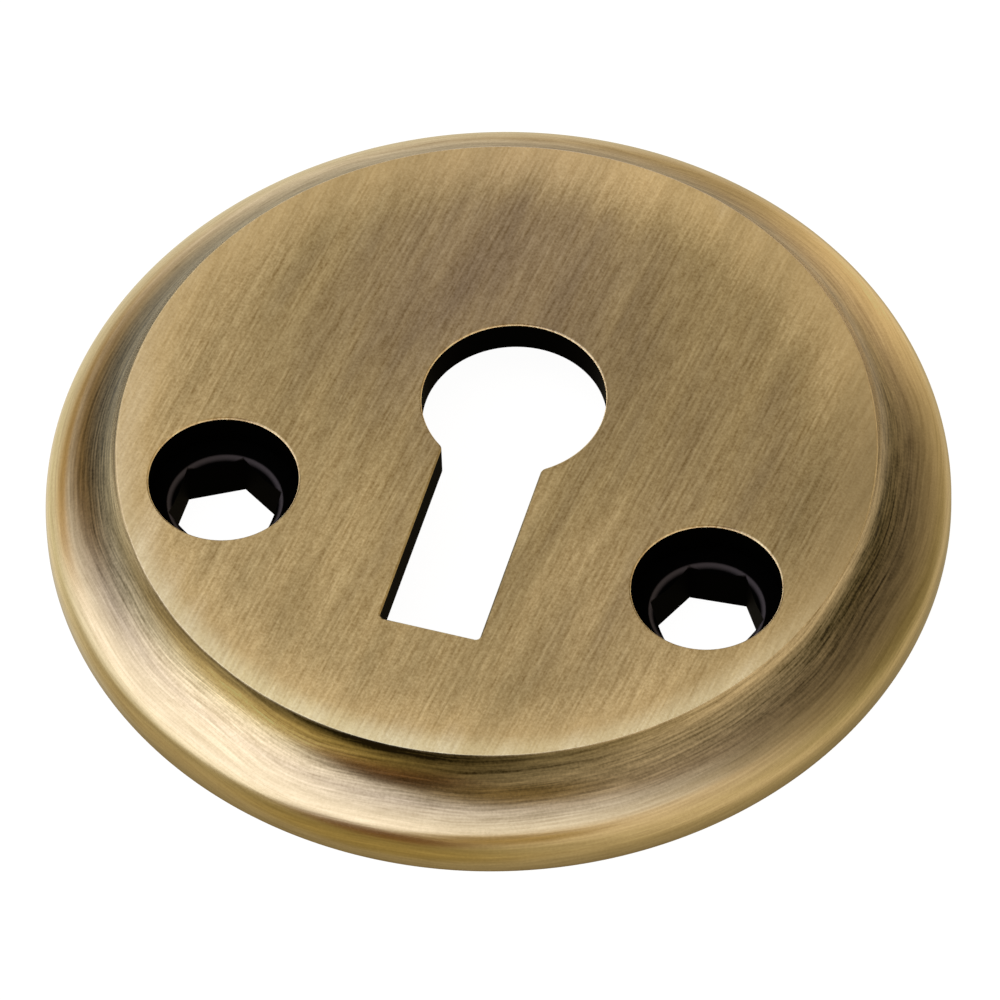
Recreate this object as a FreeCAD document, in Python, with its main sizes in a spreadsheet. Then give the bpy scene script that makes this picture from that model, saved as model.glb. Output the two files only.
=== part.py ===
import FreeCAD
import Part
import Sketcher

import math
import os

# Keyhole escutcheon: one round plate of solid brass, turned to an ogee rim, hollow behind,
# with a keyhole and two screw holes that are counterbored in front and hexagonal behind.
# The back lies on z = 0, the disc axis is the Z axis and the keyhole's round end points to +Y.

doc = FreeCAD.newDocument("keyhole_escutcheon")
sizes = doc.addObject("Spreadsheet::Sheet", "Sizes")

# Every length is in millimetres and every turn in degrees.
DIMENSIONS = [
    # Disc and its rim, from the back edge inwards to the flat face.
    ("plate_diameter", 54.4),
    ("plate_height", 5.5),
    ("rim_side_height", 0.55),
    ("shoulder_radius", 2.1),
    ("rim_width", 4.5),
    ("cove_wall_angle", 72.0),
    ("face_edge_radius", 0.1),
    # Hollow of the back: the face is a web over it, and the hollow ends just inside the face.
    ("web_thickness", 2.2),
    ("hollow_inset", 0.5),
    ("hollow_draft_angle", 5.0),
    ("hollow_corner_radius", 0.5),
    # Keyhole: a round hole for the shank and a straight slot for the bit.
    ("keyhole_round_diameter", 11.1),
    ("keyhole_round_rise", 3.7),
    ("keyhole_slot_width", 6.2),
    ("keyhole_slot_drop", 14.0),
    ("keyhole_neck_radius", 0.5),
    ("keyhole_foot_radius", 0.3),
    # Screw holes: the pair sits below the disc's centre, at a standard spacing.
    ("screw_spacing", 30.0),
    ("screw_drop", 6.7),
    ("counterbore_diameter", 9.0),
    ("counterbore_depth", 2.2),
    ("boss_diameter", 12.0),
    ("hex_across_flats", 6.0),
    ("hex_angle_left", -1.6),
    ("hex_angle_right", 34.2),
    ("lead_in_margin", 0.08),
    ("lead_in_overrun", 0.1),
    # Broken edge where the holes meet the face.
    ("edge_break", 0.1),
]
for row, (name, value) in enumerate(DIMENSIONS, start=1):
    sizes.set(f"A{row}", name)
    sizes.set(f"B{row}", str(value))
    sizes.setAlias(f"B{row}", name)
doc.recompute()

body = doc.addObject("PartDesign::Body", "EscutcheonPlate")
body.Label = "escutcheon_plate"
body.Placement = FreeCAD.Placement(FreeCAD.Vector(0, 0, 0), FreeCAD.Rotation())

# How a constraint names a line's or an arc's points, and the sketch's origin.
START, END, CENTRE = range(1, 4)
ORIGIN = (-1, 1)
TOLERANCE = 1e-3


def point(x, y):
    return FreeCAD.Vector(x, y, 0)


def new_sketch(name, plane, lift=None):
    """A sketch on one of the body's own planes, raised along its normal by an expression."""
    sketch = body.newObject("Sketcher::SketchObject", name)
    support = next(item for item in body.Origin.OriginFeatures if item.Role == plane)
    sketch.AttachmentSupport = [(support, "")]
    sketch.MapMode = "FlatFace"
    if lift:
        sketch.setExpression("AttachmentOffset.Base.z", lift)
    return sketch


def line(sketch, start, end):
    return sketch.addGeometry(Part.LineSegment(start, end), False)


def arc(sketch, centre, radius, start_angle, end_angle):
    circle = Part.Circle(centre, FreeCAD.Vector(0, 0, 1), radius)
    return sketch.addGeometry(Part.ArcOfCircle(circle, start_angle, end_angle), False)


def rule(sketch, *terms):
    """Adds a geometric constraint, such as Coincident, Tangent or Horizontal."""
    sketch.addConstraint(Sketcher.Constraint(*terms))


def measure(sketch, expression, *terms):
    """Adds a dimension and ties it to the sheet."""
    index = sketch.addConstraint(Sketcher.Constraint(*terms))
    sketch.setExpression(f"Constraints[{index}]", expression)


def circle_at(sketch, x, y, radius, across, along, diameter):
    """A full circle whose place and diameter are tied to the sheet."""
    index = sketch.addGeometry(Part.Circle(point(x, y), FreeCAD.Vector(0, 0, 1), radius), False)
    measure(sketch, across, "DistanceX", *ORIGIN, index, CENTRE, x)
    measure(sketch, along, "DistanceY", *ORIGIN, index, CENTRE, y)
    measure(sketch, diameter, "Diameter", index, 2 * radius)
    return index


def feature(kind, name, sketch):
    item = body.newObject(kind, name)
    item.Profile = sketch
    sketch.Visibility = False
    return item


def near(a, b):
    return abs(a - b) < TOLERANCE


def lies_on_face(edge):
    box = edge.BoundBox
    return near(box.ZMin, sizes.plate_height) and near(box.ZMax, sizes.plate_height)


def reach(edge):
    """How far the edge's ends are from the disc's axis, at most."""
    return max(math.hypot(vertex.X, vertex.Y) for vertex in edge.Vertexes)


plate_radius = sizes.plate_diameter / 2
face_radius = plate_radius - sizes.rim_width
hollow_depth = sizes.plate_height - sizes.web_thickness


def turned_blank():
    """The disc turned to its ogee rim: upright side, round shoulder, cove, edge and flat face."""
    slope = math.radians(sizes.cove_wall_angle)
    outwards = point(math.sin(slope), math.cos(slope))
    shoulder_centre = point(plate_radius - sizes.shoulder_radius, sizes.rim_side_height)
    edge_centre = point(face_radius, sizes.plate_height - sizes.face_edge_radius)

    # The cove starts where the rounded edge has reached the wall's slope, and its circle touches
    # the shoulder's, which settles its radius.
    cove_start = edge_centre + outwards * sizes.face_edge_radius
    to_start = cove_start - shoulder_centre
    cove_radius = (to_start.Length ** 2 - sizes.shoulder_radius ** 2) / (
        2 * (sizes.shoulder_radius - outwards.dot(to_start))
    )
    cove_centre = cove_start + outwards * cove_radius
    touch = math.atan2(cove_centre.y - shoulder_centre.y, cove_centre.x - shoulder_centre.x)
    lean = math.pi / 2 - slope

    sketch = new_sketch("RimProfile", "XZ_Plane")
    back = line(sketch, point(0, 0), point(plate_radius, 0))
    side = line(sketch, point(plate_radius, 0), point(plate_radius, sizes.rim_side_height))
    shoulder = arc(sketch, shoulder_centre, sizes.shoulder_radius, 0, touch)
    cove = arc(sketch, cove_centre, cove_radius, math.pi + lean, math.pi + touch)
    edge = arc(sketch, edge_centre, sizes.face_edge_radius, lean, math.pi / 2)
    face = line(sketch, point(face_radius, sizes.plate_height), point(0, sizes.plate_height))
    axis = line(sketch, point(0, sizes.plate_height), point(0, 0))
    spoke = line(sketch, edge_centre, cove_centre)
    sketch.toggleConstruction(spoke)

    rule(sketch, "Coincident", back, START, *ORIGIN)
    rule(sketch, "Coincident", back, END, side, START)
    rule(sketch, "Tangent", side, END, shoulder, START)
    rule(sketch, "Tangent", shoulder, END, cove, END)
    rule(sketch, "Tangent", cove, START, edge, START)
    rule(sketch, "Tangent", edge, END, face, START)
    rule(sketch, "Coincident", face, END, axis, START)
    rule(sketch, "Coincident", axis, END, *ORIGIN)
    rule(sketch, "Coincident", spoke, START, edge, CENTRE)
    rule(sketch, "Coincident", spoke, END, cove, CENTRE)
    rule(sketch, "Horizontal", back)
    rule(sketch, "Vertical", side)
    rule(sketch, "Horizontal", face)
    rule(sketch, "Vertical", axis)
    measure(sketch, "Sizes.plate_diameter / 2", "DistanceX", back, START, back, END, plate_radius)
    measure(sketch, "Sizes.rim_side_height", "DistanceY", side, START, side, END, sizes.rim_side_height)
    measure(sketch, "Sizes.shoulder_radius", "Radius", shoulder, sizes.shoulder_radius)
    measure(sketch, "Sizes.face_edge_radius", "Radius", edge, sizes.face_edge_radius)
    measure(sketch, "90 deg - Sizes.cove_wall_angle * 1 deg", "Angle", spoke, lean)
    measure(sketch, "Sizes.plate_height", "DistanceY", axis, END, axis, START, sizes.plate_height)
    measure(
        sketch, "Sizes.plate_diameter / 2 - Sizes.rim_width",
        "DistanceX", face, END, face, START, face_radius,
    )

    blank = feature("PartDesign::Revolution", "TurnedBlank", sketch)
    blank.ReferenceAxis = (sketch, ["V_Axis"])
    blank.Angle = 360
    doc.recompute()


def hollow_back():
    """The back turned out to a shallow dish with drafted walls and a rounded inner corner."""
    draft = math.radians(sizes.hollow_draft_angle)
    mouth_radius = face_radius - sizes.hollow_inset
    roof_radius = mouth_radius - hollow_depth * math.tan(draft)
    corner = sizes.hollow_corner_radius
    # Half of the turn between roof and wall gives the run from their corner to the arc.
    run = corner * math.tan((math.pi / 2 - draft) / 2)
    roof_end = point(roof_radius - run, hollow_depth)
    wall_end = point(roof_radius + run * math.sin(draft), hollow_depth - run * math.cos(draft))
    corner_centre = point(roof_radius - run, hollow_depth - corner)

    sketch = new_sketch("HollowProfile", "XZ_Plane")
    mouth = line(sketch, point(0, 0), point(mouth_radius, 0))
    wall = line(sketch, point(mouth_radius, 0), wall_end)
    round_off = arc(sketch, corner_centre, corner, draft, math.pi / 2)
    roof = line(sketch, roof_end, point(0, hollow_depth))
    axis = line(sketch, point(0, hollow_depth), point(0, 0))

    rule(sketch, "Coincident", mouth, START, *ORIGIN)
    rule(sketch, "Coincident", mouth, END, wall, START)
    rule(sketch, "Tangent", wall, END, round_off, START)
    rule(sketch, "Tangent", round_off, END, roof, START)
    rule(sketch, "Coincident", roof, END, axis, START)
    rule(sketch, "Coincident", axis, END, *ORIGIN)
    rule(sketch, "Horizontal", mouth)
    rule(sketch, "Horizontal", roof)
    rule(sketch, "Vertical", axis)
    measure(
        sketch, "Sizes.plate_diameter / 2 - Sizes.rim_width - Sizes.hollow_inset",
        "DistanceX", mouth, START, mouth, END, mouth_radius,
    )
    measure(
        sketch, "Sizes.plate_height - Sizes.web_thickness",
        "DistanceY", axis, END, axis, START, hollow_depth,
    )
    measure(sketch, "Sizes.hollow_corner_radius", "Radius", round_off, corner)
    measure(
        sketch, "90 deg + Sizes.hollow_draft_angle * 1 deg",
        "Angle", wall, math.pi / 2 + draft,
    )

    hollow = feature("PartDesign::Groove", "HollowBack", sketch)
    hollow.ReferenceAxis = (sketch, ["V_Axis"])
    hollow.Angle = 360
    doc.recompute()


SCREW_SIDES = (("Left", -1), ("Right", 1))


def screw_circles(name, diameter, lift=None):
    """One sketch with a circle on each screw axis."""
    sketch = new_sketch(name, "XY_Plane", lift)
    for _, sign in SCREW_SIDES:
        circle_at(
            sketch, sign * sizes.screw_spacing / 2, -sizes.screw_drop, sizes.get(diameter) / 2,
            f"{sign} * Sizes.screw_spacing / 2", "-1 * Sizes.screw_drop", f"Sizes.{diameter}",
        )
    return sketch


def screw_bosses():
    """A boss round each screw axis fills the hollow, from the back up to the web."""
    bosses = feature("PartDesign::Pad", "ScrewBosses", screw_circles("BossCircles", "boss_diameter"))
    bosses.setExpression("Length", "Sizes.plate_height - Sizes.web_thickness")
    doc.recompute()


def counterbores():
    """Round counterbores sink the screw heads below the face."""
    circles = screw_circles("CounterboreCircles", "counterbore_diameter", "Sizes.plate_height")
    bores = feature("PartDesign::Pocket", "Counterbores", circles)
    bores.setExpression("Length", "Sizes.counterbore_depth")
    doc.recompute()


def hex_bore(side, sign):
    """A hexagonal bore through the boss, and the cone that leads into it."""
    turn_name = f"hex_angle_{side.lower()}"
    turn = math.radians(sizes.get(turn_name))
    centre = point(sign * sizes.screw_spacing / 2, -sizes.screw_drop)
    corner_radius = sizes.hex_across_flats / 2 / math.cos(math.radians(30))
    corners = [
        centre + point(math.cos(angle), math.sin(angle)) * corner_radius
        for angle in (turn + math.radians(60 * step - 30) for step in range(6))
    ]

    sketch = new_sketch(f"Hexagon{side}", "XY_Plane", "Sizes.plate_height")
    across = f"{sign} * Sizes.screw_spacing / 2"
    corner_diameter = "Sizes.hex_across_flats / cos(30 deg)"
    guide = circle_at(
        sketch, centre.x, centre.y, corner_radius, across, "-1 * Sizes.screw_drop", corner_diameter
    )
    sketch.toggleConstruction(guide)
    flats = [line(sketch, corners[i], corners[(i + 1) % 6]) for i in range(6)]
    for i, flat in enumerate(flats):
        rule(sketch, "Coincident", flat, END, flats[(i + 1) % 6], START)
        rule(sketch, "PointOnObject", flat, START, guide)
        if i:
            rule(sketch, "Equal", flats[0], flat)
    measure(sketch, f"90 deg + Sizes.{turn_name} * 1 deg", "Angle", flats[0], math.pi / 2 + turn)

    bore = feature("PartDesign::Pocket", f"HexBore{side}", sketch)
    bore.Type = "ThroughAll"
    doc.recompute()

    # The cone's wide end lies in the counterbore's floor, just outside the hexagon's corners.
    # It narrows at 45 degrees until it is past the middle of each flat.
    mouth_radius = "(Sizes.hex_across_flats / 2 / cos(30 deg) + Sizes.lead_in_margin)"
    cone_height = f"({mouth_radius} - Sizes.hex_across_flats / 2 + Sizes.lead_in_overrun)"
    cone = body.newObject("PartDesign::SubtractiveCone", f"LeadIn{side}")
    cone.AttachmentSupport = sketch.AttachmentSupport
    cone.MapMode = "FlatFace"
    cone.setExpression("Radius1", "Sizes.hex_across_flats / 2 - Sizes.lead_in_overrun")
    cone.setExpression("Radius2", mouth_radius)
    cone.setExpression("Height", cone_height)
    cone.setExpression("AttachmentOffset.Base.x", across)
    cone.setExpression("AttachmentOffset.Base.y", "-1 * Sizes.screw_drop")
    cone.setExpression(
        "AttachmentOffset.Base.z",
        f"Sizes.plate_height - Sizes.counterbore_depth - {cone_height}",
    )
    doc.recompute()


def keyhole():
    """The keyhole: a round hole above a straight slot, in one outline that passes right through."""
    half_width = sizes.keyhole_slot_width / 2
    foot = -sizes.keyhole_slot_drop
    foot_radius = sizes.keyhole_foot_radius
    neck_radius = sizes.keyhole_neck_radius
    round_radius = sizes.keyhole_round_diameter / 2
    round_centre = point(0, sizes.keyhole_round_rise)

    # Each neck arc lies in the metal and touches the slot's side and the round hole.
    neck_x = half_width + neck_radius
    neck_drop = math.sqrt((round_radius + neck_radius) ** 2 - neck_x ** 2)
    neck_y = round_centre.y - neck_drop
    lean = math.atan2(neck_drop, neck_x)

    sketch = new_sketch("KeyholeOutline", "XY_Plane", "Sizes.plate_height")
    quarter = math.pi / 2
    inner = half_width - foot_radius
    rise = foot + foot_radius
    bottom = line(sketch, point(-inner, foot), point(inner, foot))
    foot_right = arc(sketch, point(inner, rise), foot_radius, -quarter, 0)
    side_right = line(sketch, point(half_width, rise), point(half_width, neck_y))
    neck_right = arc(sketch, point(neck_x, neck_y), neck_radius, math.pi - lean, math.pi)
    round_part = arc(sketch, round_centre, round_radius, -lean, math.pi + lean)
    neck_left = arc(sketch, point(-neck_x, neck_y), neck_radius, 0, lean)
    side_left = line(sketch, point(-half_width, neck_y), point(-half_width, rise))
    foot_left = arc(sketch, point(-inner, rise), foot_radius, math.pi, 3 * quarter)

    joins = [
        (bottom, END, foot_right, START),
        (foot_right, END, side_right, START),
        (side_right, END, neck_right, END),
        (neck_right, START, round_part, START),
        (round_part, END, neck_left, END),
        (neck_left, START, side_left, START),
        (side_left, END, foot_left, START),
        (foot_left, END, bottom, START),
    ]
    for join in joins:
        rule(sketch, "Tangent", *join)
    rule(sketch, "Horizontal", bottom)
    rule(sketch, "Vertical", side_right)
    rule(sketch, "Vertical", side_left)
    rule(sketch, "Equal", foot_right, foot_left)
    rule(sketch, "Equal", neck_right, neck_left)
    rule(sketch, "Vertical", *ORIGIN, round_part, CENTRE)
    measure(sketch, "Sizes.keyhole_foot_radius", "Radius", foot_right, foot_radius)
    measure(sketch, "Sizes.keyhole_neck_radius", "Radius", neck_right, neck_radius)
    measure(sketch, "Sizes.keyhole_round_diameter", "Diameter", round_part, 2 * round_radius)
    measure(
        sketch, "Sizes.keyhole_round_rise",
        "DistanceY", *ORIGIN, round_part, CENTRE, round_centre.y,
    )
    measure(
        sketch, "Sizes.keyhole_slot_width / 2",
        "DistanceX", *ORIGIN, side_right, START, half_width,
    )
    measure(
        sketch, "Sizes.keyhole_slot_width",
        "DistanceX", side_left, START, side_right, END, 2 * half_width,
    )
    measure(sketch, "-1 * Sizes.keyhole_slot_drop", "DistanceY", *ORIGIN, bottom, START, foot)

    hole = feature("PartDesign::Pocket", "Keyhole", sketch)
    hole.Type = "ThroughAll"
    doc.recompute()


def break_hole_rims():
    """The front edges of the keyhole and of the counterbores are broken by a small chamfer."""
    doc.recompute()
    base = body.Tip
    rims = [
        f"Edge{number}"
        for number, edge in enumerate(base.Shape.Edges, start=1)
        if lies_on_face(edge) and reach(edge) < face_radius - TOLERANCE
    ]
    chamfer = body.newObject("PartDesign::Chamfer", "HoleRims")
    chamfer.Base = (base, rims)
    chamfer.setExpression("Size", "Sizes.edge_break")
    doc.recompute()


turned_blank()
hollow_back()
screw_bosses()
counterbores()
for side, sign in SCREW_SIDES:
    hex_bore(side, sign)
keyhole()
break_hole_rims()
doc.recompute()

for item in doc.Objects:
    if "Invalid" in item.State or "Error" in item.State:
        raise RuntimeError(f"{item.Name} failed: {item.State}")
if body.Shape.isNull() or not body.Shape.isValid() or len(body.Shape.Solids) != 1:
    raise RuntimeError("the plate isn't one valid solid")

os.makedirs("parts", exist_ok=True)
body.Shape.exportStep(f"parts/{body.Label}.step")
box = body.Shape.optimalBoundingBox(False, False)
print(f"{body.Label}: {box.XLength:.3f} x {box.YLength:.3f} x {box.ZLength:.3f} mm, "
      f"{body.Shape.Volume:.1f} cubic mm, {len(body.Shape.Faces)} faces")
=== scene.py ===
import math

import bmesh
import bpy
from mathutils import Matrix, Vector


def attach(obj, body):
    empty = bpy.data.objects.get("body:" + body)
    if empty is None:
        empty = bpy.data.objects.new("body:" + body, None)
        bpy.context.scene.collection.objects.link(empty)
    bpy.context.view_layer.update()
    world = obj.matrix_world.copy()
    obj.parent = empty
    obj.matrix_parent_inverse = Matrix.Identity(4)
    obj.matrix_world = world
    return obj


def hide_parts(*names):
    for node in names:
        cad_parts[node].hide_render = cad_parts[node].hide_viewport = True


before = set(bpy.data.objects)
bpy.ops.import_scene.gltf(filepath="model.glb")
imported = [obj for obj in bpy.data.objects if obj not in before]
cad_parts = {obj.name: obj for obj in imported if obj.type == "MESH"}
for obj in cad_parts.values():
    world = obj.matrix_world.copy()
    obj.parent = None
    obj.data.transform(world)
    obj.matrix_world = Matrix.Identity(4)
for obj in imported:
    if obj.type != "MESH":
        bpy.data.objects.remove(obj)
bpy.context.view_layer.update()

# Turned blank: the disc of solid brass, turned on a lathe to an ogee rim round a flat face.
# Its back is turned out to a shallow dish, and the face is left open here for its holes.
MM = 0.001
UPWARDS = Vector((0, 0, 1))
ACROSS = Vector((0, 1, 0))
plate_radius = 27.2 * MM
plate_height = 5.5 * MM
rim_side_height = 0.55 * MM
shoulder_radius = 2.1 * MM
face_radius = plate_radius - 4.5 * MM
face_edge_radius = 0.1 * MM
cove_wall_angle = math.radians(72)
web_thickness = 2.2 * MM
hollow_mouth_radius = face_radius - 0.5 * MM
hollow_draft = math.radians(5)
hollow_corner_radius = 0.5 * MM
roof_height = plate_height - web_thickness
turns_per_circle = 384
rim_arc_steps = 28
small_arc_steps = 8
merge_distance = 0.001 * MM


def draw_line(mesh, vertex, end):
    """Draws a straight edge on from a vertex and gives its far end."""
    far = bmesh.ops.extrude_vert_indiv(mesh, verts=[vertex])["verts"][0]
    far.co = end
    return far


def draw_arc(mesh, vertex, centre, axis, angle, steps):
    """Draws an arc on from a vertex, round a centre, and gives its last vertex."""
    drawn = bmesh.ops.spin(
        mesh, geom=[vertex], cent=centre, axis=axis, angle=angle, steps=steps
    )
    return drawn["geom_last"][0]


def in_section(radius, height):
    """A point of the plate's half section, which lies in the XZ plane."""
    return Vector((radius, 0, height))


def on_section(centre, radius, angle):
    return centre + in_section(math.cos(angle), math.sin(angle)) * radius


outwards = in_section(math.sin(cove_wall_angle), math.cos(cove_wall_angle))
lean = math.pi / 2 - cove_wall_angle
shoulder_centre = in_section(plate_radius - shoulder_radius, rim_side_height)
edge_centre = in_section(face_radius, plate_height - face_edge_radius)
cove_start = edge_centre + outwards * face_edge_radius
to_start = cove_start - shoulder_centre
cove_radius = (to_start.length_squared - shoulder_radius ** 2) / (
    2 * (shoulder_radius - outwards.dot(to_start))
)
cove_centre = cove_start + outwards * cove_radius
touch = math.atan2(cove_centre.z - shoulder_centre.z, cove_centre.x - shoulder_centre.x)

roof_radius = hollow_mouth_radius - roof_height * math.tan(hollow_draft)
corner_run = hollow_corner_radius * math.tan((math.pi / 2 - hollow_draft) / 2)
corner_centre = in_section(roof_radius - corner_run, roof_height - hollow_corner_radius)

plate = bmesh.new()
tip = bmesh.ops.create_vert(plate, co=in_section(face_radius, plate_height))["vert"][0]
tip = draw_arc(plate, tip, edge_centre, ACROSS, cove_wall_angle, small_arc_steps)
tip = draw_arc(plate, tip, cove_centre, ACROSS, lean - touch, rim_arc_steps)
tip = draw_arc(plate, tip, shoulder_centre, ACROSS, touch, rim_arc_steps)
tip = draw_line(plate, tip, in_section(plate_radius, 0))
tip = draw_line(plate, tip, in_section(hollow_mouth_radius, 0))
tip = draw_line(plate, tip, on_section(corner_centre, hollow_corner_radius, hollow_draft))
draw_arc(plate, tip, corner_centre, ACROSS, hollow_draft - math.pi / 2, small_arc_steps)
bmesh.ops.spin(
    plate, geom=plate.verts[:] + plate.edges[:], cent=(0, 0, 0), axis=UPWARDS,
    angle=math.tau, steps=turns_per_circle, use_merge=True,
)
open_rims = [edge for edge in plate.edges if edge.is_boundary]
face_rim = [edge for edge in open_rims if edge.verts[0].co.z > (roof_height + plate_height) / 2]
roof_rim = [edge for edge in open_rims if edge not in face_rim]

# Keyhole: punched through the web in one outline, a round hole above a slot for the bit.
# Its front edge is broken by a small chamfer.
keyhole_round_radius = 5.55 * MM
keyhole_round_rise = 3.7 * MM
keyhole_half_width = 3.1 * MM
keyhole_foot = -14.0 * MM
keyhole_neck_radius = 0.5 * MM
keyhole_foot_radius = 0.3 * MM
keyhole_round_steps = 96
edge_break = 0.1 * MM


def keyhole_outline(mesh, height, growth):
    """Draws the outline once round, grown outwards by the chamfer, and gives its edges."""
    half_width = keyhole_half_width + growth
    foot = keyhole_foot - growth
    foot_radius = keyhole_foot_radius + growth
    neck_radius = keyhole_neck_radius - growth
    round_radius = keyhole_round_radius + growth
    neck_x = half_width + neck_radius
    neck_drop = math.sqrt((round_radius + neck_radius) ** 2 - neck_x ** 2)
    neck_y = keyhole_round_rise - neck_drop
    neck_turn = math.atan2(neck_drop, neck_x)
    round_turn = math.pi + 2 * neck_turn
    inner = half_width - foot_radius
    foot_y = foot + foot_radius

    known = set(mesh.verts)
    tip = bmesh.ops.create_vert(mesh, co=(-inner, foot, height))["vert"][0]
    tip = draw_line(mesh, tip, (inner, foot, height))
    tip = draw_arc(mesh, tip, (inner, foot_y, height), UPWARDS, math.pi / 2, small_arc_steps)
    tip = draw_line(mesh, tip, (half_width, neck_y, height))
    tip = draw_arc(mesh, tip, (neck_x, neck_y, height), UPWARDS, -neck_turn, small_arc_steps)
    tip = draw_arc(mesh, tip, (0, keyhole_round_rise, height), UPWARDS, round_turn, keyhole_round_steps)
    tip = draw_arc(mesh, tip, (-neck_x, neck_y, height), UPWARDS, -neck_turn, small_arc_steps)
    tip = draw_line(mesh, tip, (-half_width, foot_y, height))
    draw_arc(mesh, tip, (-inner, foot_y, height), UPWARDS, math.pi / 2, small_arc_steps)
    drawn = [vertex for vertex in mesh.verts if vertex not in known]
    bmesh.ops.remove_doubles(mesh, verts=drawn, dist=merge_distance)
    return list({edge for vertex in drawn if vertex.is_valid for edge in vertex.link_edges})


def raise_walls(mesh, rim, height):
    """Extends a rim's edges straight to a height and gives the new rim."""
    made = bmesh.ops.extrude_edge_only(mesh, edges=rim)["geom"]
    for vertex in made:
        if isinstance(vertex, bmesh.types.BMVert):
            vertex.co.z = height
    return [edge for edge in made if isinstance(edge, bmesh.types.BMEdge)]


keyhole_rim = keyhole_outline(plate, plate_height, edge_break)
keyhole_wall_top = keyhole_outline(plate, plate_height - edge_break, 0)
bmesh.ops.bridge_loops(plate, edges=keyhole_rim + keyhole_wall_top)
keyhole_back = raise_walls(plate, keyhole_wall_top, roof_height)

# Screw holes: each is counterbored for the screw's head, and a cone leads from there into a
# hexagonal bore that runs through a boss to the back.
screw_x = 15.0 * MM
screw_y = -6.7 * MM
counterbore_radius = 4.5 * MM
counterbore_depth = 2.2 * MM
counterbore_floor = plate_height - counterbore_depth
boss_radius = 6.0 * MM
hex_half_width = 3.0 * MM
flat_turn = 60
left_hex_turn = -1.6
right_hex_turn = 34.2
cone_overhang = 0.08 * MM
cone_radius = hex_half_width / math.cos(math.radians(flat_turn / 2)) + cone_overhang
steps_per_flat = 20
boss_steps = 96


def screw_hole(mesh, x, hex_turn):
    """Makes one hole with its boss, and gives the rims where it meets the face and the roof.

    Its hexagon is turned by hex_turn, in degrees.
    """
    centre = Vector((x, screw_y, 0))
    corner_turn = Matrix.Rotation(math.radians(hex_turn + flat_turn / 2), 4, "Z")

    def beside(radius, height):
        return centre + corner_turn @ in_section(radius, height)

    known = set(mesh.edges)
    tip = bmesh.ops.create_vert(mesh, co=beside(counterbore_radius + edge_break, plate_height))["vert"][0]
    tip = draw_line(mesh, tip, beside(counterbore_radius, plate_height - edge_break))
    tip = draw_line(mesh, tip, beside(counterbore_radius, counterbore_floor))
    draw_line(mesh, tip, beside(cone_radius, counterbore_floor))
    profile = [edge for edge in mesh.edges if edge not in known]
    ends = list({vertex for edge in profile for vertex in edge.verts})
    bmesh.ops.spin(
        mesh, geom=ends + profile, cent=centre, axis=UPWARDS, angle=math.tau,
        steps=360 // flat_turn * steps_per_flat, use_merge=True,
    )
    open_edges = [edge for edge in mesh.edges if edge not in known and edge.is_boundary]
    face_side = [edge for edge in open_edges if edge.verts[0].co.z > plate_height - edge_break / 2]
    cone_rim = [edge for edge in open_edges if edge not in face_side]

    bore_rim = raise_walls(mesh, cone_rim, counterbore_floor)
    for vertex in {vertex for edge in bore_rim for vertex in edge.verts}:
        arm = vertex.co - centre
        turn = math.degrees(math.atan2(arm.y, arm.x)) - hex_turn
        off_flat = (turn + flat_turn / 2) % flat_turn - flat_turn / 2
        reach = hex_half_width / math.cos(math.radians(off_flat))
        vertex.co = centre + Vector((arm.x, arm.y, 0)).normalized() * reach
        vertex.co.z = counterbore_floor - (cone_radius - reach)
    hexagon = raise_walls(mesh, bore_rim, 0)

    known = set(mesh.edges)
    bmesh.ops.create_circle(
        mesh, segments=boss_steps, radius=boss_radius,
        matrix=Matrix.Translation(centre + UPWARDS * roof_height),
    )
    boss_rim = [edge for edge in mesh.edges if edge not in known]
    boss_end = raise_walls(mesh, boss_rim, 0)
    bmesh.ops.triangle_fill(mesh, edges=boss_end + hexagon, normal=-UPWARDS)
    return face_side, boss_rim


left_rim, left_boss = screw_hole(plate, -screw_x, left_hex_turn)
right_rim, right_boss = screw_hole(plate, screw_x, right_hex_turn)

# Face and roof: the flat web between the holes, in front and behind.
face_outlines = face_rim + keyhole_rim + left_rim + right_rim
roof_outlines = roof_rim + keyhole_back + left_boss + right_boss
bmesh.ops.triangle_fill(plate, edges=face_outlines, normal=UPWARDS)
bmesh.ops.triangle_fill(plate, edges=roof_outlines, normal=-UPWARDS)
bmesh.ops.remove_doubles(plate, verts=plate.verts, dist=merge_distance)
bmesh.ops.recalc_face_normals(plate, faces=plate.faces)

# The brush reached the face, the chamfers round its holes and the rim. All else stayed black.
smooth_below = math.radians(18)
brushed_slot = 0
blackened_slot = 1
plate_mesh = bpy.data.meshes.new("escutcheon")
for edge in plate.edges:
    edge.smooth = edge.calc_face_angle(math.pi) < smooth_below
for edge in face_outlines:
    edge.smooth = False
for face in plate.faces:
    centre = face.calc_center_median()
    in_front = centre.z > plate_height - edge_break
    on_outside = Vector((centre.x, centre.y)).length > face_radius
    underneath = face.normal.z <= -0.5
    face.smooth = True
    face.material_index = blackened_slot
    if (in_front or on_outside) and not underneath:
        face.material_index = brushed_slot
plate.to_mesh(plate_mesh)
plate.free()
escutcheon = bpy.data.objects.new("escutcheon", plate_mesh)
bpy.context.scene.collection.objects.link(escutcheon)


def linear(code):
    """An sRGB hex colour as the linear values that Blender reads."""
    channels = [int(code[i:i + 2], 16) / 255 for i in (1, 3, 5)]
    return [c / 12.92 if c <= 0.04045 else ((c + 0.055) / 1.055) ** 2.4 for c in channels] + [1]


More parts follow.
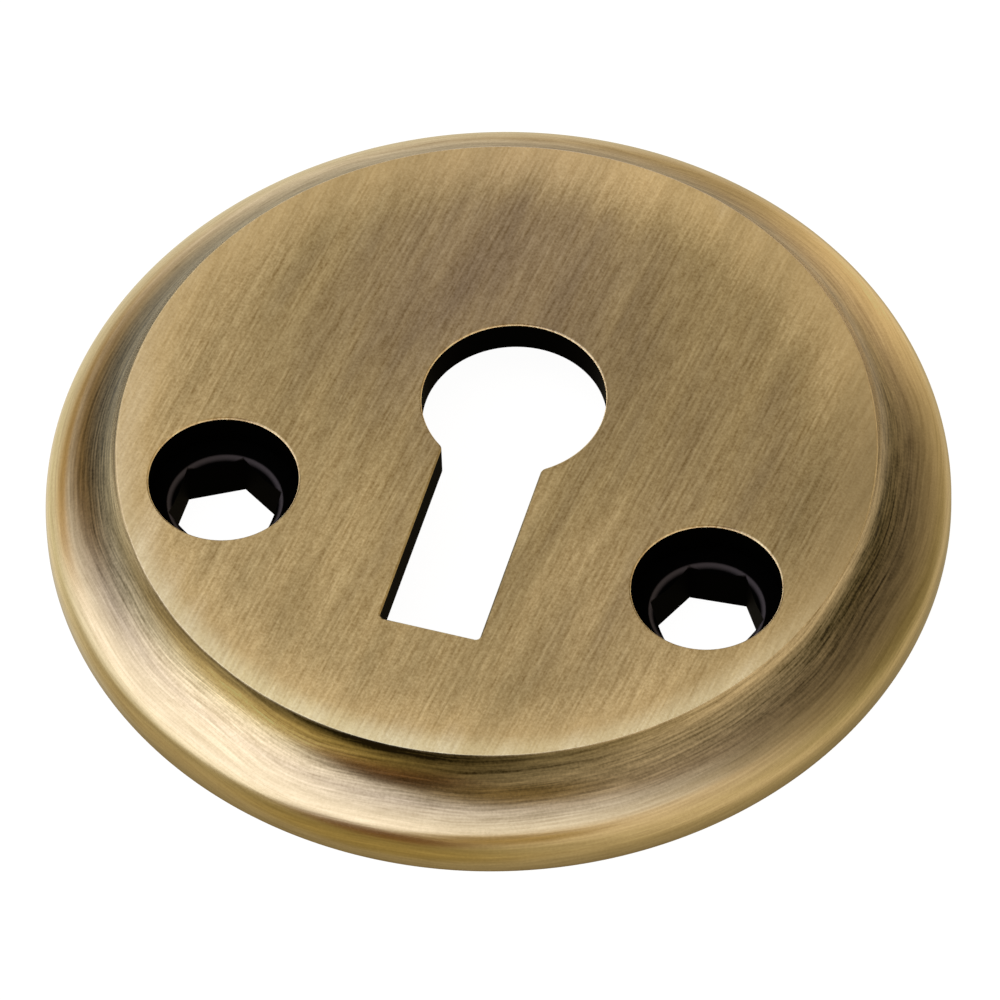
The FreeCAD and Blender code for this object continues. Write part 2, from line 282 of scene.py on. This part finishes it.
def add(tree, kind, inputs=None, stops=(), **settings):
    """Adds a node to a tree, with its settings, its ramp's stops and its inputs' values or links.

    A MapRange takes input 0 from the range 1 to 2 over to the range 3 to 4. A Mix has its share
    in input 0 and blends the numbers 2 and 3, the vectors 4 and 5 or the colours 6 and 7.
    """
    made = tree.nodes.new("ShaderNode" + kind)
    for name, value in settings.items():
        setattr(made, name, value)
    for name, value in (inputs or {}).items():
        if isinstance(value, bpy.types.NodeSocket):
            tree.links.new(value, made.inputs[name])
        else:
            made.inputs[name].default_value = value
    for i, (place, code) in enumerate(stops):
        stop = made.color_ramp.elements[i] if i < 2 else made.color_ramp.elements.new(place)
        stop.position = place
        stop.color = linear(code)
    return made


def new_material(name):
    made = bpy.data.materials.new(name)
    made.use_nodes = True
    made.node_tree.nodes.clear()
    return made, made.node_tree


def with_painted_light(tree, colour, coordinates, patches):
    """Paints light and shade into a colour in soft oval patches, which fade out from their middles.

    Each patch gives its middle, its reach each way and what it adds to red, green and blue.
    """
    share = (1, 1, 1)
    for middle, reach, more in patches:
        beside = add(tree, "VectorMath", {0: coordinates, 1: middle}, operation="SUBTRACT").outputs[0]
        beside = add(tree, "VectorMath", {0: beside, 1: reach}, operation="DIVIDE").outputs[0]
        away = add(tree, "VectorMath", {0: beside}, operation="LENGTH").outputs["Value"]
        patch = add(
            tree, "MapRange", {0: away, 1: 0.1, 2: 1.0, 3: 1.0, 4: 0.0}, interpolation_type="SMOOTHSTEP"
        ).outputs[0]
        share = add(tree, "VectorMath", {0: patch, 1: more, 2: share}, operation="MULTIPLY_ADD").outputs[0]
    return add(tree, "VectorMath", {0: colour, 1: share}, operation="MULTIPLY").outputs[0]


# Antique brass: blackened, then brushed by hand and lacquered. The eye sees a golden grey metal
# with fine strokes that run one way over the face and follow the rim, darker in the cove, where
# the brush didn't reach, and paler where it rubbed most. Its shine is soft, from the strokes.
brushed, tree = new_material("brushed_antique_brass")
place = add(tree, "TexCoord").outputs["Object"]
place_mm = add(tree, "VectorMath", {0: place, "Scale": 1 / MM}, operation="SCALE").outputs[0]
height_mm = add(tree, "SeparateXYZ", {0: place_mm}).outputs["Z"]
arm = add(tree, "VectorMath", {0: place_mm, 1: (1, 1, 0)}, operation="MULTIPLY").outputs[0]
radius_mm = add(tree, "VectorMath", {0: arm}, operation="LENGTH").outputs["Value"]
spoke = add(tree, "VectorMath", {0: arm}, operation="NORMALIZE").outputs[0]

# The way over the rim, which is radius less height in millimetres, starts at the face's edge. It
# passes the middle of the cove and the start of the shoulder, and ends at the rim's foot.
edge_way = (face_radius - plate_height) / MM
cove_way = 20.0
shoulder_way = 23.5
foot_way = plate_radius / MM
way = add(tree, "Math", {0: radius_mm, 1: height_mm}, operation="SUBTRACT").outputs[0]
on_rim = add(
    tree, "MapRange", {0: way, 1: edge_way, 2: edge_way + 0.06}, interpolation_type="SMOOTHSTEP"
).outputs[0]

# The brushing's X runs across its strokes and its Y and Z along them, in millimetres. The face
# was brushed 7 degrees off upright, and the rim all round, by a hand that swayed up and down it.
# The rim's are laid out on a smaller circle than its own, so they come out longer than the face's.
face_turn = math.radians(7)
rim_sway = 4.0
rim_layout_radius = 16
face_brushing = add(tree, "Mapping", {"Vector": arm, "Rotation": (0, 0, face_turn)}).outputs[0]
sway = add(tree, "TexNoise", {"Vector": spoke, "Scale": 1.5, "Detail": 1.0}).outputs[0]
across_rim = add(tree, "Math", {0: sway, 1: rim_sway, 2: way}, operation="MULTIPLY_ADD").outputs[0]
round_rim = add(tree, "SeparateXYZ", {0: spoke})
rim_brushing = add(
    tree, "CombineXYZ", {0: across_rim, 1: round_rim.outputs["X"], 2: round_rim.outputs["Y"]}
).outputs[0]
rim_brushing = add(
    tree, "VectorMath", {0: rim_brushing, 1: (1, rim_layout_radius, rim_layout_radius)},
    operation="MULTIPLY",
).outputs[0]
brushing = add(
    tree, "Mix", {0: on_rim, 4: face_brushing, 5: rim_brushing}, data_type="VECTOR"
).outputs[1]

# Real strokes are about 0.05 mm wide. These are 0.1 mm, the finest that a picture shows. Each
# row gives where they are laid out, the width and length of a stroke with its gap, and its depth.
# The last is the metal's grain, which is fainter on the rim.
grain = add(tree, "MapRange", {0: on_rim, 3: 0.80, 4: 0.40}).outputs[0]
strokes = add(tree, "MapRange", {0: on_rim, 3: -1.10, 4: -0.90}).outputs[0]
for coordinates, width, length, depth in (
    (brushing, 0.20, 9.0, 0.75),
    (brushing, 0.20, 1.3, 0.65),
    (place_mm, 0.16, 0.16, grain),
):
    stretched = add(
        tree, "Mapping", {"Vector": coordinates, "Scale": (1 / width, 1 / length, 1 / length)}
    ).outputs[0]
    stroke = add(tree, "TexNoise", {"Vector": stretched, "Scale": 1.0, "Detail": 2.0}).outputs[0]
    strokes = add(tree, "Math", {0: stroke, 1: depth, 2: strokes}, operation="MULTIPLY_ADD").outputs[0]

# The face's tarnish: how far it was rubbed away, in broad bands along the strokes. It also grows paler
# towards the face's edge.
band_width = 2.4
band_length = 16
rubbed_from = 17.5
rubbed_to = 22.6
bands_at = add(
    tree, "Mapping", {"Vector": face_brushing, "Scale": (1 / band_width, 1 / band_length, 1)}
).outputs[0]
bands = add(tree, "TexNoise", {"Vector": bands_at, "Scale": 1.0, "Detail": 3.0}).outputs[0]
wear_and_painted_light = add(tree, "MapRange", {0: bands, 1: 0.25, 2: 0.75, 3: 0.4, 4: 0.6}).outputs[0]
paler_to_edge = add(
    tree, "MapRange", {0: radius_mm, 1: rubbed_from, 2: rubbed_to, 3: 0.0, 4: 0.24},
    interpolation_type="SMOOTHSTEP",
).outputs[0]
wear_and_painted_light = add(tree, "Math", {0: wear_and_painted_light, 1: paler_to_edge}, operation="ADD").outputs[0]

# Each cloud gives its middle, where it starts and ends to fade, and how much it adds. The clouds stand
# partly for tarnish and partly for painted reflection and shade on the face.
for x, y, inner, outer, more in (
    (-3, 10, 3, 16, -0.16),  # dark above the keyhole
    (15, 5, 3, 14, -0.06),  # dark on the right
    (-21, -10, 2, 18, 0.14),  # pale beyond the left screw hole
    (0, -21, 1, 12, 0.08),  # pale in front
):
    away = add(tree, "VectorMath", {0: arm, 1: (x, y, 0)}, operation="DISTANCE").outputs["Value"]
    cloud = add(
        tree, "MapRange", {0: away, 1: inner, 2: outer, 3: more, 4: 0.0}, interpolation_type="SMOOTHSTEP"
    ).outputs[0]
    wear_and_painted_light = add(tree, "Math", {0: wear_and_painted_light, 1: cloud}, operation="ADD").outputs[0]
face_wear_and_light = add(tree, "ValToRGB", {0: wear_and_painted_light}, stops=(
    (0.0, "#4A3A24"), (0.25, "#7C705C"), (0.5, "#A69875"), (0.75, "#C8B78F"), (1.0, "#DFD5BA"),
)).outputs[0]
# Painted reflections and shade on the face, in soft patches laid out along the brushing.
face_wear_and_light = with_painted_light(tree, face_wear_and_light, face_brushing, (
    ((-5, 13, 0), (12, 18, 1), (0.10, 0.10, 0.25)),  # cooler above the keyhole
    ((-4, -12, 0), (8, 16, 1), (0.20, 0.20, 0.20)),  # paler left of the slot
    ((12, -8, 0), (8, 14, 1), (0.15, 0.15, 0.20)),  # paler right of the slot
    ((21, 5, 0), (5, 16, 1), (-0.35, -0.35, -0.35)),  # darker at the right edge
    ((0, 21, 0), (8, 6, 1), (0.20, 0.20, 0.20)),  # paler at the back edge
))

# The patches of painted light and shade round the rim are laid out on a circle amid it, with the way over
# it as their height.
amid_rim = 25
edge_level = edge_way + 0.1
round_and_down = add(
    tree, "CombineXYZ", {0: round_rim.outputs["X"], 1: round_rim.outputs["Y"], 2: way}
).outputs[0]
round_and_down = add(
    tree, "VectorMath", {0: round_and_down, 1: (amid_rim, amid_rim, 1)}, operation="MULTIPLY"
).outputs[0]


def rim_light_patch(turn, level, length, width, more):
    """One patch of painted light and shade on the rim, at a turn in degrees and a level on the way over
    it.
    """
    turn = math.radians(turn)
    middle = (amid_rim * math.cos(turn), amid_rim * math.sin(turn), level)
    return middle, (length, length, width), more


# Painted highlight along the face's edge, in front.
face_wear_and_light = with_painted_light(tree, face_wear_and_light, round_and_down, (
    rim_light_patch(260, edge_level, 30, 2.0, (0.30, 0.50, 0.80)),  # painted highlight on the face's edge in front
    rim_light_patch(320, edge_level, 15, 2.0, (0.25, 0.40, 0.70)),  # painted highlight, on the right in front
))

# The rim's tarnish, from the face's edge down to the back: rubbed bare on the edge and the shoulder, left
# in the cove. Round the rim, patches of painted reflection and shade lighten and darken it.
down_rim = add(tree, "MapRange", {0: way, 1: edge_way, 2: foot_way}).outputs[0]
rim_patina_and_light = add(tree, "ValToRGB", {0: down_rim}, stops=(
    (0.00, "#C7B998"), (0.06, "#BCAE8D"), (0.17, "#988D71"), (0.28, "#8A8067"), (0.46, "#A39781"),
    (0.62, "#C6B898"), (0.68, "#D2C4A3"), (0.80, "#D0C298"), (0.86, "#E4D4AD"), (1.00, "#A99C7F"),
)).outputs[0]
rim_patina_and_light = with_painted_light(tree, rim_patina_and_light, round_and_down, (
    rim_light_patch(90, 18.5, 35, 3.0, (0.40, 0.50, 1.20)),  # painted reflection, cool, behind
    rim_light_patch(185, 21.0, 22, 4.0, (-0.65, -0.65, -0.65)),  # painted shade in the cove on the left
    rim_light_patch(245, 20.0, 14, 4.0, (1.00, 1.00, 0.90)),  # painted highlight in the cove in front
    rim_light_patch(255, 19.0, 14, 1.5, (1.20, 1.20, 1.00)),
    rim_light_patch(258, 17.4, 24, 1.0, (-0.65, -0.65, -0.65)),  # painted shade just under the edge there
    rim_light_patch(275, 18.2, 20, 1.6, (-0.60, -0.60, -0.60)),
    rim_light_patch(355, 19.0, 16, 2.0, (-0.45, -0.45, -0.50)),  # painted shade on cove and shoulder on the right
    rim_light_patch(352, 22.0, 26, 5.0, (-0.65, -0.65, -0.65)),
    rim_light_patch(348, 25.5, 20, 2.5, (-0.30, -0.30, -0.40)),
    rim_light_patch(48, 22.0, 12, 5.0, (0.80, 0.80, 0.90)),  # painted highlight on the right behind
))
tarnish_and_light = add(
    tree, "Mix", {0: on_rim, 6: face_wear_and_light, 7: rim_patina_and_light}, data_type="RGBA"
).outputs[2]

# The chamfers round the round holes were brushed bare and dull: each shows as a thin cream line.
# The slot's long sides are left out, by how far they are from the slot's middle.
chamfer_foot = plate_height / MM - 0.07
chamfer_top = plate_height / MM - 0.02
slot_middle = (0, -8, 0)
below_face = add(
    tree, "MapRange", {0: height_mm, 1: chamfer_foot, 2: chamfer_top, 3: 1.0, 4: 0.0}
).outputs[0]
hole_rim = add(tree, "Math", {0: below_face, 1: on_rim}, operation="SUBTRACT", use_clamp=True).outputs[0]
from_slot = add(tree, "VectorMath", {0: arm, 1: slot_middle}, operation="DISTANCE").outputs["Value"]
off_slot = add(tree, "MapRange", {0: from_slot, 1: 7.0, 2: 9.0, 3: 0.0, 4: 1.0}).outputs[0]
hole_rim = add(tree, "Math", {0: hole_rim, 1: off_slot}, operation="MULTIPLY").outputs[0]
tarnish_and_light = add(
    tree, "Mix", {0: hole_rim, 6: tarnish_and_light, 7: linear("#F4E2BC")}, data_type="RGBA"
).outputs[2]

# The strokes shade the tarnish, most in blue, and grow faint on the shoulder and at the face's
# edge. In the cove they are also scratches, through to the brass. The colour gets no paler than
# polished brass and no darker than old tarnish.
cove_depth = add(tree, "MapRange", {0: way, 1: cove_way, 2: shoulder_way, 3: 1.0, 4: 0.5}).outputs[0]
face_depth = add(tree, "MapRange", {0: radius_mm, 1: 19.5, 2: 22.3, 3: 1.15, 4: 0.5}).outputs[0]
stroke_depth = add(tree, "Mix", {0: on_rim, 2: face_depth, 3: cove_depth}).outputs[0]
stroke_shade = add(tree, "Math", {0: strokes, 1: stroke_depth}, operation="MULTIPLY").outputs[0]
stroke_shade = add(
    tree, "VectorMath", {0: stroke_shade, 1: (0.85, 1.0, 1.25), 2: (1, 1, 1)}, operation="MULTIPLY_ADD"
).outputs[0]
colour = add(tree, "VectorMath", {0: tarnish_and_light, 1: stroke_shade}, operation="MULTIPLY").outputs[0]
scratched = add(tree, "MapRange", {0: way, 1: cove_way, 2: shoulder_way, 3: 0.34, 4: 0.08}).outputs[0]
scratched = add(tree, "Math", {0: scratched, 1: on_rim}, operation="MULTIPLY").outputs[0]
scratched = add(tree, "Math", {0: scratched, 1: strokes}, operation="MULTIPLY").outputs[0]
bare_brass = (1.1, 0.90, 0.60)
palest = (0.95, 0.95, 0.95)
darkest = (0.030, 0.023, 0.015)
colour = add(
    tree, "VectorMath", {0: scratched, 1: bare_brass, 2: colour}, operation="MULTIPLY_ADD"
).outputs[0]
colour = add(tree, "VectorMath", {0: colour, 1: palest}, operation="MINIMUM").outputs[0]
colour = add(tree, "VectorMath", {0: colour, 1: darkest}, operation="MAXIMUM").outputs[0]

# The rim shines a little sharper than the face, apart from just under the edge. The holes'
# chamfers are dull. The strokes stand out less on the rim.
stroke_relief = 0.02 * MM
rim_roughness = add(
    tree, "MapRange", {0: way, 1: edge_way + 0.16, 2: edge_way + 0.3, 3: 0.5, 4: 0.22}
).outputs[0]
roughness = add(tree, "Mix", {0: on_rim, 2: 0.3, 3: rim_roughness}).outputs[0]
roughness = add(tree, "Mix", {0: hole_rim, 2: roughness, 3: 0.6}).outputs[0]
bump_strength = add(tree, "MapRange", {0: on_rim, 3: 0.35, 4: 0.15}).outputs[0]
relief = add(
    tree, "Bump", {"Height": strokes, "Strength": bump_strength, "Distance": stroke_relief}
).outputs[0]
surface = add(tree, "BsdfPrincipled", {
    "Base Color": colour, "Metallic": 1.0, "Roughness": roughness, "Normal": relief,
}).outputs[0]
add(tree, "OutputMaterial", {"Surface": surface})

# Blackened brass, as the bath left it where no brush reached: nearly black, with a dull shine.
# The cones that lead into the hexagons carry a painted highlight, a grey ring where they catch the light.
cone_height = counterbore_floor / MM
bore_reach = 3.6
screw_axis = (screw_x / MM, abs(screw_y) / MM, 0)
blackened, tree = new_material("blackened_brass")
place = add(tree, "TexCoord").outputs["Object"]
place_mm = add(tree, "VectorMath", {0: place, "Scale": 1 / MM}, operation="SCALE").outputs[0]
height_mm = add(tree, "SeparateXYZ", {0: place_mm}).outputs["Z"]
either_side = add(tree, "VectorMath", {0: place_mm}, operation="ABSOLUTE").outputs[0]
beside_screw = add(tree, "VectorMath", {0: either_side, 1: screw_axis}, operation="SUBTRACT").outputs[0]
beside_screw = add(tree, "VectorMath", {0: beside_screw, 1: (1, 1, 0)}, operation="MULTIPLY").outputs[0]
from_screw = add(tree, "VectorMath", {0: beside_screw}, operation="LENGTH").outputs["Value"]
in_bore = add(tree, "Math", {0: from_screw, 1: bore_reach}, operation="LESS_THAN").outputs[0]
cone = add(
    tree, "MapRange", {0: height_mm, 1: cone_height - 0.38, 2: cone_height - 0.16, 3: 0.0, 4: 1.0},
    interpolation_type="SMOOTHSTEP",
).outputs[0]
cone_top = add(
    tree, "MapRange", {0: height_mm, 1: cone_height - 0.12, 2: cone_height - 0.02, 3: 1.0, 4: 0.0},
    interpolation_type="SMOOTHSTEP",
).outputs[0]
cone_highlight = add(tree, "Math", {0: cone, 1: cone_top}, operation="MULTIPLY").outputs[0]
cone_highlight = add(tree, "Math", {0: cone_highlight, 1: in_bore}, operation="MULTIPLY").outputs[0]
black_and_cone_highlight = add(tree, "ValToRGB", {0: cone_highlight}, stops=((0.0, "#020202"), (1.0, "#434045"))).outputs[0]
surface = add(tree, "BsdfPrincipled", {
    "Base Color": black_and_cone_highlight, "Metallic": 0.0, "Roughness": 0.6, "Specular IOR Level": 0.005,
}).outputs[0]
add(tree, "OutputMaterial", {"Surface": surface})

plate_mesh.materials.append(brushed)
plate_mesh.materials.append(blackened)
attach(escutcheon, "root")
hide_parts("escutcheon_plate")

# Floor: a plain white table top, just clear of the plate's back. Towards the camera it glows, so
# that it stays white and keeps the plate's shadow. It hides nothing from below, and the metal
# mirrors the studio behind it.
floor_half = 2.0
floor_gap = 0.02 * MM
glow_share = 0.88
table = bmesh.new()
bmesh.ops.create_grid(
    table, x_segments=1, y_segments=1, size=floor_half, matrix=Matrix.Translation((0, 0, -floor_gap))
)
floor_mesh = bpy.data.meshes.new("floor")
table.to_mesh(floor_mesh)
table.free()
floor = bpy.data.objects.new("floor", floor_mesh)
bpy.context.scene.collection.objects.link(floor)
white_table, tree = new_material("white_table")
path = add(tree, "LightPath").outputs
matt = add(tree, "BsdfDiffuse", {"Color": linear("#EDEBE6")}).outputs[0]
glow = add(tree, "Emission", {"Color": (1, 1, 1, 1), "Strength": 1.1}).outputs[0]
clear = add(tree, "BsdfTransparent").outputs[0]
share = add(tree, "Math", {0: path["Is Camera Ray"], 1: glow_share}, operation="MULTIPLY").outputs[0]
shown = add(tree, "MixShader", {0: share, 1: matt, 2: glow}).outputs[0]
from_below = add(tree, "NewGeometry").outputs["Backfacing"]
left_out = add(tree, "Math", {0: path["Is Glossy Ray"], 1: from_below}, operation="MAXIMUM").outputs[0]
reflected = add(tree, "MixShader", {0: left_out, 1: shown, 2: clear}).outputs[0]
add(tree, "OutputMaterial", {"Surface": reflected})
floor_mesh.materials.append(white_table)

# Studio light: a bright soft box behind on the left, dimmer surfaces in front and on the right,
# and a warm ground. Each panel is a soft disc of the sky. It is given by its turn from the right
# towards behind and its rise, the reach of its full and its fading part, all in degrees, its
# colour and its strength.
studio = bpy.data.worlds.new("studio")
bpy.context.scene.world = studio
studio.use_nodes = True
tree = studio.node_tree
tree.nodes.clear()
towards = add(tree, "TexCoord").outputs["Generated"]
light = linear("#F8E3C6")
for turn, rise, inner, outer, code, strength in (
    (215, -45, 80, 120, "#C5B38C", 0.85),  # ground, low on the left
    (110, 50, 20, 45, "#FFFFFF", 0.85),  # ceiling behind
    (150, 50, 50, 75, "#FFFAFA", 1.27),  # large soft box behind on the left
    (207, 49, 32, 36, "#FFFAFE", 1.64),  # hard-edged soft box on the left
    (60, 30, 35, 60, "#E2CA9F", 0.85),  # warm wall behind on the right
    (260, 25, 5, 25, "#815320", 0.85),  # dark wood in front
    (260, -15, 10, 40, "#AD975D", 0.85),  # ground in front
    (150, 15, 0, 30, "#DCAB41", 0.85),  # golden wall under the large soft box
    (140, -20, 10, 50, "#FFF6E0", 0.91),  # pale ground behind
    (290, 45, 5, 20, "#BF9F5C", 0.85),  # dim ceiling in front
):
    turn, rise = math.radians(turn), math.radians(rise)
    centre = (math.cos(turn) * math.cos(rise), math.sin(turn) * math.cos(rise), math.sin(rise))
    facing = add(tree, "VectorMath", {0: towards, 1: centre}, operation="DOT_PRODUCT").outputs["Value"]
    panel = add(
        tree, "MapRange",
        {0: facing, 1: math.cos(math.radians(outer)), 2: math.cos(math.radians(inner))},
        interpolation_type="SMOOTHSTEP",
    ).outputs[0]
    shine = [channel * strength for channel in linear(code)[:3]] + [1]
    light = add(tree, "Mix", {0: panel, 6: light, 7: shine}, data_type="RGBA").outputs[2]
path = add(tree, "LightPath").outputs
seen = add(tree, "Mix", {0: path["Is Camera Ray"], 6: light, 7: (1, 1, 1, 1)}, data_type="RGBA").outputs[2]
shining = add(tree, "Background", {"Color": seen, "Strength": 1.0}).outputs[0]
add(tree, "OutputWorld", {"Surface": shining})

# Camera: a long lens, from in front and a little to the right, looking down at the plate.
view_turn = math.radians(18.352)
view_height = math.radians(53.316)
view_roll = math.radians(-2.269)
view_distance = 814.3 * MM
aim_right = 0.0925 * MM
aim_up = 0.0517 * MM
sensor_width = 36
lens_length = 13.553 * sensor_width
towards_camera = Vector((
    math.sin(view_turn) * math.cos(view_height),
    -math.cos(view_turn) * math.cos(view_height),
    math.sin(view_height),
))
level = Vector((math.cos(view_turn), math.sin(view_turn), 0))
steep = towards_camera.cross(level)
picture_right = math.cos(view_roll) * level + math.sin(view_roll) * steep
picture_up = towards_camera.cross(picture_right)
lens = bpy.data.cameras.new("camera")
lens.sensor_width = sensor_width
lens.lens = lens_length
lens.clip_start = 0.01
camera = bpy.data.objects.new("camera", lens)
camera.matrix_world = Matrix((
    (*picture_right, 0), (*picture_up, 0), (*towards_camera, 0), (0, 0, 0, 1)
)).transposed()
camera.location = towards_camera * view_distance + picture_right * aim_right + picture_up * aim_up
bpy.context.scene.collection.objects.link(camera)
bpy.context.scene.camera = camera
bpy.context.scene.view_settings.view_transform = "Standard"
